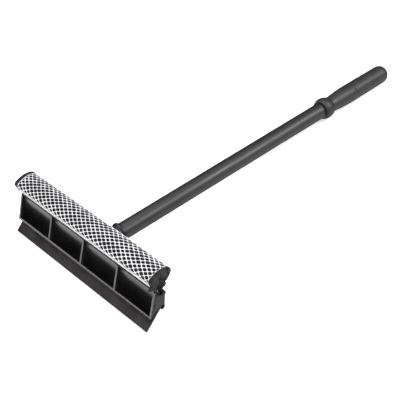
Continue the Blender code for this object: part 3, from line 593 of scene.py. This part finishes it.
class SectionPath:
    """The pad's outline in the (y, z) plane, from its front foot over the top to its rear foot."""

    def __init__(self, node: bpy.types.Object, spacing: float = 0.5 * MM) -> None:
        """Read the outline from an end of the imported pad.

        Args:
            node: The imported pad.
            spacing: Distance between the points kept.
        """
        corners = self.end_outline(node)
        steps = np.linalg.norm(np.diff(corners, axis=0), axis=1)
        along = np.concatenate([[0.0], np.cumsum(steps)])
        count = int(round(along[-1] / spacing)) + 1
        self.along = np.linspace(0.0, along[-1], count)
        points = np.stack([np.interp(self.along, along, corners[:, k]) for k in (0, 1)], axis=1)
        for _ in range(OUTLINE_SMOOTHING):
            points[1:-1] = (points[:-2] + 2 * points[1:-1] + points[2:]) / 4
        self.points = points
        run = np.gradient(points, axis=0)
        run /= np.linalg.norm(run, axis=1)[:, None]
        self.normals = np.stack([-run[:, 1], run[:, 0]], axis=1)
        middle = points.mean(axis=0)
        if ((points - middle) * self.normals).sum() < 0:
            self.normals = -self.normals
        self.length = float(self.along[-1])

    @staticmethod
    def end_outline(node: bpy.types.Object) -> np.ndarray:
        """Read the outline of the pad's end.

        Args:
            node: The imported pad.

        Returns:
            One (y, z) row for each corner, in order from the front foot to the rear one.
        """
        shape = bmesh.new()
        shape.from_mesh(node.data)
        bmesh.ops.remove_doubles(shape, verts=shape.verts, dist=WELD_DISTANCE)
        end = min(corner.co.x for corner in shape.verts)
        cap = {face for face in shape.faces
               if all(abs(corner.co.x - end) < WELD_DISTANCE for corner in face.verts)}
        rim = [edge for edge in shape.edges
               if sum(face in cap for face in edge.link_faces) == 1]
        foot = min(rim, key=lambda edge: sum(corner.co.z for corner in edge.verts))
        start, last = sorted(foot.verts, key=lambda corner: corner.co.y)
        order = [start]
        used = {foot}
        while order[-1] is not last:
            here = order[-1]
            step = next(edge for edge in here.link_edges if edge in rim and edge not in used)
            used.add(step)
            order.append(step.other_vert(here))
        outline = np.array([(corner.co.y, corner.co.z) for corner in order])
        shape.free()
        return outline

    def at(self, along: np.ndarray, out: np.ndarray) -> np.ndarray:
        """Points at distances along the outline and out from it.

        Args:
            along: Distances from the front foot.
            out: Distances outwards.

        Returns:
            One (y, z) row for each.
        """
        along = np.clip(along, 0.0, self.length)
        base = np.stack([np.interp(along, self.along, self.points[:, k]) for k in (0, 1)], axis=1)
        out_way = np.stack([np.interp(along, self.along, self.normals[:, k]) for k in (0, 1)],
                           axis=1)
        out_way /= np.linalg.norm(out_way, axis=1)[:, None]
        return base + out_way * out[:, None]

    def nearest(self, points: np.ndarray) -> tuple[np.ndarray, np.ndarray]:
        """Find where on the outline is nearest to each point.

        Args:
            points: One (y, z) row for each point.

        Returns:
            The distance along the outline to that place, and the point's distance from it.
        """
        along = np.zeros(len(points))
        away = np.zeros(len(points))
        for start in range(0, len(points), SEARCH_BATCH):
            batch = slice(start, start + SEARCH_BATCH)
            gaps = np.linalg.norm(points[batch, None, :] - self.points[None, :, :], axis=2)
            along[batch] = self.along[gaps.argmin(axis=1)]
            away[batch] = gaps.min(axis=1)
        return along, away


# ---------- the net ----------

@dataclass
class NetCover:
    """White knitted net, stretched over the pad with its edges down in the rail.

    hole_shares are a hole's reach along the pad, its reach round it and the place of its slanting
    corners, as shares of its cell. rings are the share of the way from a cell's edge to its hole
    and the height there, as a share of the thread. knit_share is how much of the flat rectangle
    counts as cloth. Near its ends the net stops at tuck_share of the way round the pad.
    """

    pitch: float = 9.0 * MM
    row: float = 2.78 * MM
    hole_shares: tuple[float, float, float] = (0.82, 0.84, 0.46)
    lift: float = 0.10 * MM
    thread: float = 0.70 * MM
    end_margin: float = 4.8 * MM
    shift: float = 1.8 * MM
    wander: float = 0.25 * MM
    wander_lengths: tuple[float, float, float, float] = (0.021, 0.017, 0.013, 0.029)
    edge_power: int = 8
    hem_share: float = 0.05
    hem_squash: float = 0.85
    size_spread: float = 0.07
    size_range: tuple[float, float] = (0.85, 1.13)
    knit_share: float = 0.50
    tuck_share: float = 0.78
    seed: int = 7
    rings: tuple[tuple[float, float], ...] = ((0.0, 1.0), (0.45, 0.93), (1.0, 0.55))
    back_height: float = 0.18
    path: SectionPath | None = None
    half_length: float = 0.0
    keys: dict[tuple[int, int, int], bmesh.types.BMVert] = field(default_factory=dict)

    def fit(self, path: SectionPath, pad_box: tuple[Vector, Vector]) -> None:
        """Fit a whole number of cells round the outline and along the pad.

        Args:
            path: The pad's outline.
            pad_box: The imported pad's lowest and highest corners.
        """
        self.path = path
        half = (pad_box[1].x - pad_box[0].x) / 2 - self.end_margin
        count = 2 * round(half / self.pitch)
        self.pitch = 2 * half / count
        self.half_length = half
        self.row = path.length / round(path.length / self.row)

    @property
    def back_layer(self) -> int:
        """The ring along a cell's edge on the net's back."""
        return len(self.rings) + 1

    def cell_outline(self, side: int) -> list[tuple[float, float]]:
        """Place eight points round a cell.

        Args:
            side: 0, or -1 or 1 where the cell is cut in half at an end.

        Returns:
            Each point's distance along the pad and round it, from the cell's middle.
        """
        across = self.pitch / 2
        ring = [(across, 0.0), (across / 2, self.row / 2), (0.0, self.row),
                (-across / 2, self.row / 2), (-across, 0.0), (-across / 2, -self.row / 2),
                (0.0, -self.row), (across / 2, -self.row / 2)]
        if side:
            ring = [(0.0, y) if x * side > 0 else (x, y) for x, y in ring]
        return ring

    def hole_outline(self, side: int, size: float) -> list[tuple[float, float]]:
        """Place eight points round a cell's hole.

        Args:
            side: 0, or -1 or 1 where the cell is cut in half at an end.
            size: The hole's size against the usual one.

        Returns:
            Each point's distance along the pad and round it, from the cell's middle.
        """
        tip = self.hole_shares[0] * size * self.pitch / 2
        peak = self.hole_shares[1] * size * self.row
        edge = self.hole_shares[2] * size * self.pitch / 2
        rise = self.hole_shares[2] * size * self.row
        ring = [(tip, 0.0), (edge, rise), (0.0, peak), (-edge, rise),
                (-tip, 0.0), (-edge, -rise), (0.0, -peak), (edge, -rise)]
        if side:
            hem = self.pitch * self.hem_share
            ring = [(-side * hem, y * self.hem_squash) if x * side >= 0 else (x, y)
                    for x, y in ring]
        return ring

    def put(self, shape: bmesh.types.BMesh, x: float, along: float,
            height: float, layer: int) -> bmesh.types.BMVert:
        """Find the corner at a place on the net, or make it.

        Args:
            shape: The net's mesh.
            x: Distance along the pad from its middle.
            along: Distance round the outline from its front foot.
            height: Height above the foam.
            layer: Which of a cell's rings the corner is on.

        Returns:
            The corner.
        """
        key = (round(x / WELD_DISTANCE / 5), round(along / WELD_DISTANCE / 5), layer)
        if key not in self.keys:
            wave_x, wave_round, sway_x, sway_round = self.wander_lengths
            wave = self.wander * math.sin(x / wave_x + along / wave_round)
            sway = self.wander * math.sin(x / sway_x - along / sway_round)
            edge = max(0.0, 1.0 - (abs(x) / self.half_length) ** self.edge_power)
            place = self.path.at(np.array([along + sway]), np.array([height]))[0]
            across = x + self.shift + wave * edge
            self.keys[key] = shape.verts.new((across, place[0], place[1]))
        return self.keys[key]

    def add_cell(self, shape: bmesh.types.BMesh, x: float, along: float,
                 side: int, size: float) -> None:
        """Add one cell: crowned threads round a hole, with a flat back.

        Args:
            shape: The net's mesh.
            x: The cell's middle along the pad.
            along: The cell's middle round the outline.
            side: 0, or -1 or 1 where the cell is cut in half at an end.
            size: The hole's size against the usual one.
        """
        outer = self.cell_outline(side)
        hole = self.hole_outline(side, size)
        rings = []
        for layer, (share, height) in enumerate(self.rings):
            ring = []
            for (outer_x, outer_y), (hole_x, hole_y) in zip(outer, hole):
                place_x = x + outer_x + (hole_x - outer_x) * share
                place_y = along + outer_y + (hole_y - outer_y) * share
                ring.append(self.put(shape, place_x, place_y,
                                     self.lift + self.thread * height, layer))
            rings.append(ring)
        low = self.lift + self.thread * self.back_height
        rings.append([self.put(shape, x + hole_x, along + hole_y, low, len(self.rings))
                      for hole_x, hole_y in hole])
        rings.append([self.put(shape, x + outer_x, along + outer_y, self.lift, self.back_layer)
                      for outer_x, outer_y in outer])
        for upper, lower in zip(rings, rings[1:]):
            for i in range(len(outer)):
                following = (i + 1) % len(outer)
                corners = [upper[i], upper[following], lower[following], lower[i]]
                distinct = list(dict.fromkeys(corners))
                if len(distinct) > 2 and not shape.faces.get(distinct):
                    shape.faces.new(distinct)

    def close_edges(self, shape: bmesh.types.BMesh) -> None:
        """Close the net's cut edges between its outer face and its back.

        Args:
            shape: The net's mesh.
        """
        tops = {corner: key for key, corner in self.keys.items() if key[2] == 0}
        for edge in [edge for edge in shape.edges if edge.is_boundary]:
            first, second = edge.verts
            if first in tops and second in tops:
                below = [self.keys.get((*tops[corner][:2], self.back_layer))
                         for corner in (second, first)]
                if all(below):
                    shape.faces.new([first, second, *below])

    def build(self, finish: bpy.types.Material) -> bpy.types.Object:
        """Make the net.

        Args:
            finish: The yarn's material.

        Returns:
            The net.
        """
        random = np.random.default_rng(self.seed)
        shape = bmesh.new()
        rows = round(self.path.length / self.row)
        half_cells = round(self.half_length / (self.pitch / 2))
        for row in range(1, rows):
            for step in range(-half_cells, half_cells + 1):
                size = 1.0 + self.size_spread * float(random.normal())
                size = min(max(size, self.size_range[0]), self.size_range[1])
                tucked = abs(step) > half_cells - 2 and row > self.tuck_share * rows
                if (step + row) % 2 == half_cells % 2 and not tucked:
                    side = 0 if abs(step) < half_cells else (1 if step > 0 else -1)
                    self.add_cell(shape, step * self.pitch / 2, row * self.row, side, size)
        self.close_edges(shape)
        net = new_piece("net_mesh", shape, finish)
        rounding = net.modifiers.new("rounding", 'SUBSURF')
        rounding.levels = 1
        rounding.render_levels = 1
        keep_modifiers(net)
        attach(net, "sponge_pad")
        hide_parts("net_cover")
        return net

    def hole_share(self, x: np.ndarray, along: np.ndarray) -> np.ndarray:
        """Tell how far each place is inside a hole.

        Args:
            x: Distances along the pad from its middle.
            along: Distances round the outline from its front foot.

        Returns:
            1 at a hole's middle, down to 0 under a thread.
        """
        x = x - self.shift
        best = np.zeros(len(x))
        for odd in (0, 1):
            rows = np.round((along / self.row - odd) / 2) * 2 + odd
            offset = self.pitch / 2 * (rows % 2)
            cells = np.round((x - offset) / self.pitch) * self.pitch + offset
            away = np.hypot((x - cells) / (self.hole_shares[0] * self.pitch / 2),
                            (along - rows * self.row) / (self.hole_shares[1] * self.row))
            best = np.maximum(best, np.clip(1.0 - away ** 2, 0.0, 1.0))
        return best


# ---------- the foam pad ----------

@dataclass
class FoamPad:
    """Foam cap and neck: soft ends, gathered neck and a swell through each hole of the net.

    creases are folds in the pad's ends. Each has the place of its foot across the neck, how far it
    leans from there and how high it runs up, in millimetres.
    """

    voxel: float = 0.9 * MM
    inset: float = 0.25 * MM
    end_round: float = 2.5 * MM
    end_shrink: float = 0.012
    swell: float = 0.15 * MM
    free_swell: float = 1.0 * MM
    crease_depth: float = 4.6 * MM
    crease_width: float = 0.95 * MM
    crease_run: float = 3.5 * MM
    crease_fade: float = 0.7
    dish_depth: float = 0.42 * MM
    dish_radius: float = 12.0 * MM
    lump_depth: float = 0.25 * MM
    lump_scale: float = 140.0
    skin_depth: float = 1.5 * MM
    edge_run: float = 1.0 * MM
    shrink_height: float = 3.0 * MM
    neck_height: float = 8.5 * MM
    neck_points: int = 8
    neck_run: float = 3.0 * MM
    neck_top: float = 6.0 * MM
    neck_fade: float = 5.0 * MM
    neck_swell: float = 0.9
    rear_bulge: float = 3.4 * MM
    hook_drop: float = 3.5 * MM
    hook_fade: float = 2.0 * MM
    cap_height: float = 9.0 * MM
    cap_fade: float = 6.0 * MM
    creases: tuple[tuple[float, float, float], ...] = (
        (0.6, -0.6, 12.5), (3.4, 1.4, 9.0), (-2.2, -2.4, 8.0), (2.0, 2.4, 16.0),
        (-0.9, -4.2, 17.0))

    def rough_block(self, path: SectionPath, box: tuple[Vector, Vector],
                    finish: bpy.types.Material) -> bpy.types.Object:
        """Draw the pad out along X, and remesh it into even faces.

        Args:
            path: The pad's outline.
            box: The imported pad's lowest and highest corners.
            finish: The foam's material.

        Returns:
            The pad, still with flat ends.
        """
        inner = path.at(path.along, np.full(len(path.along), -self.inset))
        shape = bmesh.new()
        start = box[0].x
        corners = [shape.verts.new((start, y, z)) for y, z in inner]
        face = shape.faces.new(corners)
        moved = bmesh.ops.extrude_face_region(shape, geom=[face])
        far = [item for item in moved["geom"] if isinstance(item, bmesh.types.BMVert)]
        bmesh.ops.translate(shape, verts=far, vec=(box[1].x - start, 0, 0))
        block = new_piece("foam_pad", shape, finish)
        remesh = block.modifiers.new("even_faces", 'REMESH')
        remesh.mode = 'VOXEL'
        remesh.voxel_size = self.voxel
        smoothing = block.modifiers.new("soft_edges", 'SMOOTH')
        smoothing.factor = 0.5
        smoothing.iterations = 3
        keep_modifiers(block)
        return block

    def shape_ends(self, points: np.ndarray, half: float, neck: np.ndarray,
                   neck_way: np.ndarray) -> tuple[np.ndarray, np.ndarray]:
        """Round the ends in, crease them, and swell the neck at the +X end.

        Args:
            points: The pad's corners.
            half: Half of the pad's length.
            neck: The (y, z) place where the neck meets the cap.
            neck_way: The way up out of the neck, of length 1.

        Returns:
            The moved corners, and how deep in a crease each is, from 0 to 1.
        """
        depth = half - np.abs(points[:, 0])
        near = np.clip(1.0 - depth / self.end_round, 0.0, 1.0) ** 2
        middle = points[:, 1:].mean(axis=0) + neck_way * self.shrink_height
        shrunk = points.copy()
        shrunk[:, 1:] += (middle - points[:, 1:]) * (near * self.end_shrink)[:, None]
        across_way = np.array([neck_way[1], -neck_way[0]])
        from_neck = shrunk[:, 1:] - neck
        up = from_neck @ neck_way
        across = from_neck @ across_way
        swollen = np.clip(1.0 - depth / self.neck_run, 0.0, 1.0) ** 0.5 * (points[:, 0] > 0)
        low = np.clip((self.neck_top - up) / self.neck_fade, 0.0, 1.0)
        widened = across * (swollen * low * self.neck_swell)
        shrunk[:, 1:] += across_way * widened[:, None]
        above_hook = np.clip((up + self.hook_drop) / self.hook_fade, 0.0, 1.0)
        under_cap = np.clip((self.cap_height - up) / self.cap_fade, 0.0, 1.0)
        rearwards = (across > 0) * swollen * above_hook * under_cap * self.rear_bulge
        shrunk[:, 1:] += across_way * rearwards[:, None]
        face = np.clip(1.0 - depth / self.crease_run, 0.0, 1.0)
        pull = np.zeros(len(points))
        for foot, lean, height in self.creases:
            top = height * MM
            share = np.clip(up / top, -1.0, 1.0)
            line = (foot + lean * share) * MM
            fade = np.clip((top - up) / top, 0.0, 1.0) ** self.crease_fade
            pull += fade * np.exp(-((across - line) / self.crease_width) ** 2)
        pull = np.clip(pull, 0.0, 1.0)
        from_middle = np.hypot(across, up - self.cap_height)
        dish = self.dish_depth * np.clip(1.0 - from_middle / self.dish_radius, 0.0, 1.0)
        inwards = face * (pull * self.crease_depth + dish)
        shrunk[:, 0] -= np.sign(points[:, 0]) * inwards
        return shrunk, face * pull

    def build(self, path: SectionPath, net: NetCover,
              finish: bpy.types.Material) -> bpy.types.Object:
        """Make the foam pad.

        Args:
            path: The pad's outline.
            net: The net, already fitted, whose holes the foam swells through.
            finish: The foam's material.

        Returns:
            The pad.
        """
        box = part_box("sponge")
        pad = self.rough_block(path, box, finish)
        points = vertex_array(pad)
        along, away = path.nearest(points[:, 1:])
        normals = path.at(along, np.ones(len(along))) - path.at(along, np.zeros(len(along)))
        skin = (away < self.skin_depth).astype(float)
        from_edge = net.half_length - np.abs(points[:, 0] - net.shift)
        under_net = np.clip(from_edge / self.edge_run, 0.0, 1.0)
        out = self.swell * net.hole_share(points[:, 0], along) * under_net
        lumps = np.array([noise.noise(Vector(point) * self.lump_scale) for point in points])
        out += self.lump_depth * lumps + self.free_swell * (1.0 - under_net)
        points[:, 1:] += normals * (skin * out)[:, None]
        foot = (path.points[0] + path.points[-1]) / 2
        lean = path.points[self.neck_points] - path.points[0]
        neck_way = lean / np.linalg.norm(lean)
        neck = foot + neck_way * self.neck_height
        half = (box[1].x - box[0].x) / 2
        points, creased = self.shape_ends(points, half, neck, neck_way)
        set_vertices(pad, points)
        # These values drive the painted shade of the folds and of the foam under the net.
        for name, values in ((CREASE, creased), (BARE, 1.0 - under_net)):
            pad.data.attributes.new(name, 'FLOAT', 'POINT').data.foreach_set("value", values)
        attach(pad, "sponge_pad")
        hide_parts("sponge")
        return pad


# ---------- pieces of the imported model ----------

@dataclass
class HardPieces:
    """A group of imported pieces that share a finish."""

    nodes: tuple[str, ...]
    finish: MouldedPlastic | RubberStrip | PlatedSteel
    smooth_angle: float = 32.0

    def dress(self) -> None:
        """Give each piece the finish, and smooth its round faces but not its edges."""
        material = self.finish.build()
        for name in self.nodes:
            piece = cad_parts[name]
            for place in piece.material_slots:
                place.material = material
            piece.data.shade_smooth()
            weld = piece.modifiers.new("weld", 'WELD')
            weld.merge_threshold = WELD_DISTANCE
            split = piece.modifiers.new("sharp_edges", 'EDGE_SPLIT')
            split.split_angle = math.radians(self.smooth_angle)
            LOG.info("dressed %s with %s", name, material.name)


# ---------- the studio ----------

@dataclass(frozen=True)
class Softbox:
    """A soft rectangular light."""

    name: str
    place: tuple[float, float, float]
    aim: tuple[float, float, float]
    size: tuple[float, float]
    power: float

    def build(self) -> None:
        """Hang the light."""
        lamp = bpy.data.lights.new(self.name, 'AREA')
        lamp.shape = 'RECTANGLE'
        lamp.size, lamp.size_y = self.size
        lamp.energy = self.power
        light = bpy.data.objects.new(self.name, lamp)
        light.location = self.place
        way = Vector(self.aim) - Vector(self.place)
        light.rotation_euler = way.to_track_quat('-Z', 'Y').to_euler()
        bpy.context.scene.collection.objects.link(light)


@dataclass(frozen=True)
class Glow:
    """A soft glow of the surroundings round one direction.

    edge and core are the cosines of the angles at which it starts and is full.
    """

    way: tuple[float, float, float]
    edge: float
    core: float
    strength: float


@dataclass
class Studio:
    """Pale floor and dome, softboxes, glowing surroundings and the camera."""

    eye: tuple[float, float, float] = (0.75400, -0.63403, 0.73915)
    ahead: tuple[float, float, float] = (-0.63165, 0.46417, -0.62094)
    across: tuple[float, float, float] = (0.66006, 0.74209, -0.11671)
    lens: float = 86.4
    sensor_width: float = 36.0
    floor_size: float = 12.0
    floor_drop: float = 0.2 * MM
    dome_share: float = 0.45
    dome_glow: float = 0.62
    glows: tuple[Glow, ...] = (
        Glow((0.0, 0.0, 1.0), 0.30, 0.85, 0.30),
        Glow((-0.63, -0.46, -0.62), 0.885, 0.985, 1.8),
        Glow((0.632, 0.464, -0.621), 0.70, 0.95, 1.2),
        Glow((0.62, -0.76, -0.17), 0.88, 0.97, 1.4),
        Glow((-0.65, -0.16, 0.74), 0.90, 0.98, 0.8),
    )
    boxes: tuple[Softbox, ...] = (
        Softbox("key", (1.05, 0.95, 1.10), (0.0, 0.0, 0.03), (1.1, 0.8), 26.0),
        Softbox("top", (-0.3, -0.3, 1.7), (0.0, -0.1, 0.0), (1.6, 1.6), 26.0),
        Softbox("front", (0.75, -1.25, 0.30), (0.0, -0.25, 0.03), (0.7, 0.4), 8.0),
    )

    def floor(self) -> None:
        """Lay the floor."""
        half = self.floor_size / 2
        shape = bmesh.new()
        corners = [shape.verts.new((x, y, 0.0)) for x, y in
                   ((-half, -half), (half, -half), (half, half), (-half, half))]
        shape.faces.new(corners)
        plane = new_piece("floor", shape, PaleFloor().build())
        plane.location.z = -self.floor_drop
        plane.visible_glossy = False

    def backdrop(self) -> None:
        """Set a pale dome round the floor, which lights nothing and only fills the distance."""
        shape = bmesh.new()
        bmesh.ops.create_uvsphere(shape, u_segments=48, v_segments=24,
                                  radius=self.floor_size * self.dome_share)
        finish = PaleFloor("backdrop_pale", glow=self.dome_glow).build()
        dome = new_piece("backdrop", shape, finish)
        dome.visible_glossy = False
        dome.visible_diffuse = False
        dome.visible_shadow = False

    def surroundings(self) -> None:
        """Make the surroundings: dark, with a soft glow in each of a few directions."""
        world = bpy.data.worlds.new("surroundings")
        world.use_nodes = True
        tree = world.node_tree
        way = tree.nodes.new("ShaderNodeTexCoord").outputs["Generated"]
        total = None
        for glow in self.glows:
            toward = tree.nodes.new("ShaderNodeVectorMath")
            toward.operation = 'DOT_PRODUCT'
            toward.inputs[1].default_value = Vector(glow.way).normalized()
            tree.links.new(way, toward.inputs[0])
            ramp = tree.nodes.new("ShaderNodeMapRange")
            ramp.interpolation_type = 'SMOOTHSTEP'
            tree.links.new(toward.outputs["Value"], ramp.inputs["Value"])
            ramp.inputs["From Min"].default_value = glow.edge
            ramp.inputs["From Max"].default_value = glow.core
            ramp.inputs["To Max"].default_value = glow.strength
            value = ramp.outputs["Result"]
            if total is not None:
                joined = tree.nodes.new("ShaderNodeMath")
                tree.links.new(total, joined.inputs[0])
                tree.links.new(value, joined.inputs[1])
                value = joined.outputs[0]
            total = value
        tree.links.new(total, tree.nodes["Background"].inputs["Strength"])
        tree.nodes["Background"].inputs["Color"].default_value = (1.0, 1.0, 1.0, 1.0)
        bpy.context.scene.world = world

    def camera(self) -> None:
        """Set the camera up."""
        data = bpy.data.cameras.new("camera")
        data.lens = self.lens
        data.sensor_width = self.sensor_width
        camera = bpy.data.objects.new("camera", data)
        back = -Vector(self.ahead).normalized()
        right = Vector(self.across).normalized()
        up = back.cross(right)
        turn = Matrix((right, up, back)).transposed()
        camera.matrix_world = Matrix.Translation(self.eye) @ turn.to_4x4()
        bpy.context.scene.collection.objects.link(camera)
        bpy.context.scene.camera = camera

    def build(self) -> None:
        """Make the floor, the dome, the lights, the surroundings and the camera."""
        self.floor()
        self.backdrop()
        for box in self.boxes:
            box.build()
        self.surroundings()
        bpy.context.scene.view_settings.view_transform = 'Standard'
        self.camera()


# ---------- the whole squeegee ----------

SHELL = MouldedPlastic("head_black_plastic", (0.004, 0.004, 0.004), (0.008, 0.007, 0.008),
                       (0.30, 0.42), 0.030 * MM)
# The head front's base is darker than the shell's, which paints the pockets' shade, and its raised
# faces carry a painted highlight.
FRONT = PaintedHighlightShell("head_front_painted_highlight", (0.002, 0.002, 0.002), (0.004, 0.004, 0.004),
                    (0.17, 0.25), 0.012 * MM, specular=0.42)
TUBE = MouldedPlastic("tube_black_plastic", (0.010, 0.010, 0.010), (0.016, 0.015, 0.016),
                      (0.42, 0.54), 0.020 * MM, Grain.ALONG_Y, specular=0.65)
GRIP = MouldedPlastic("grip_black_plastic", (0.018, 0.018, 0.019), (0.025, 0.025, 0.026),
                      (0.42, 0.55), 0.045 * MM)


def main() -> None:
    """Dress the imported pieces, make the soft ones and set the studio up."""
    HardPieces(("head_front",), FRONT).dress()
    HardPieces(("head_rear", "sponge_rail", "tube_plug"), SHELL).dress()
    HardPieces(("handle_tube",), TUBE).dress()
    HardPieces(("grip",), GRIP).dress()
    HardPieces(("blade",), RubberStrip()).dress()
    screws = tuple(f"head_screw_{number}" for number in (1, 2, 3, 4))
    pins = tuple(f"neck_pin_{number}" for number in (1, 2, 3))
    HardPieces((*screws, "handle_screw", *pins), PlatedSteel()).dress()
    path = SectionPath(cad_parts["sponge"])
    net = NetCover()
    net.fit(path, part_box("sponge"))
    pad = FoamPad().build(path, net, OpenCellFoam().build())
    LOG.info("%s: %d faces", pad.name, len(pad.data.polygons))
    cover = net.build(KnittedYarn().build())
    LOG.info("%s: %d faces", cover.name, len(cover.data.polygons))
    Studio().build()


if __name__ == "__main__":
    main()
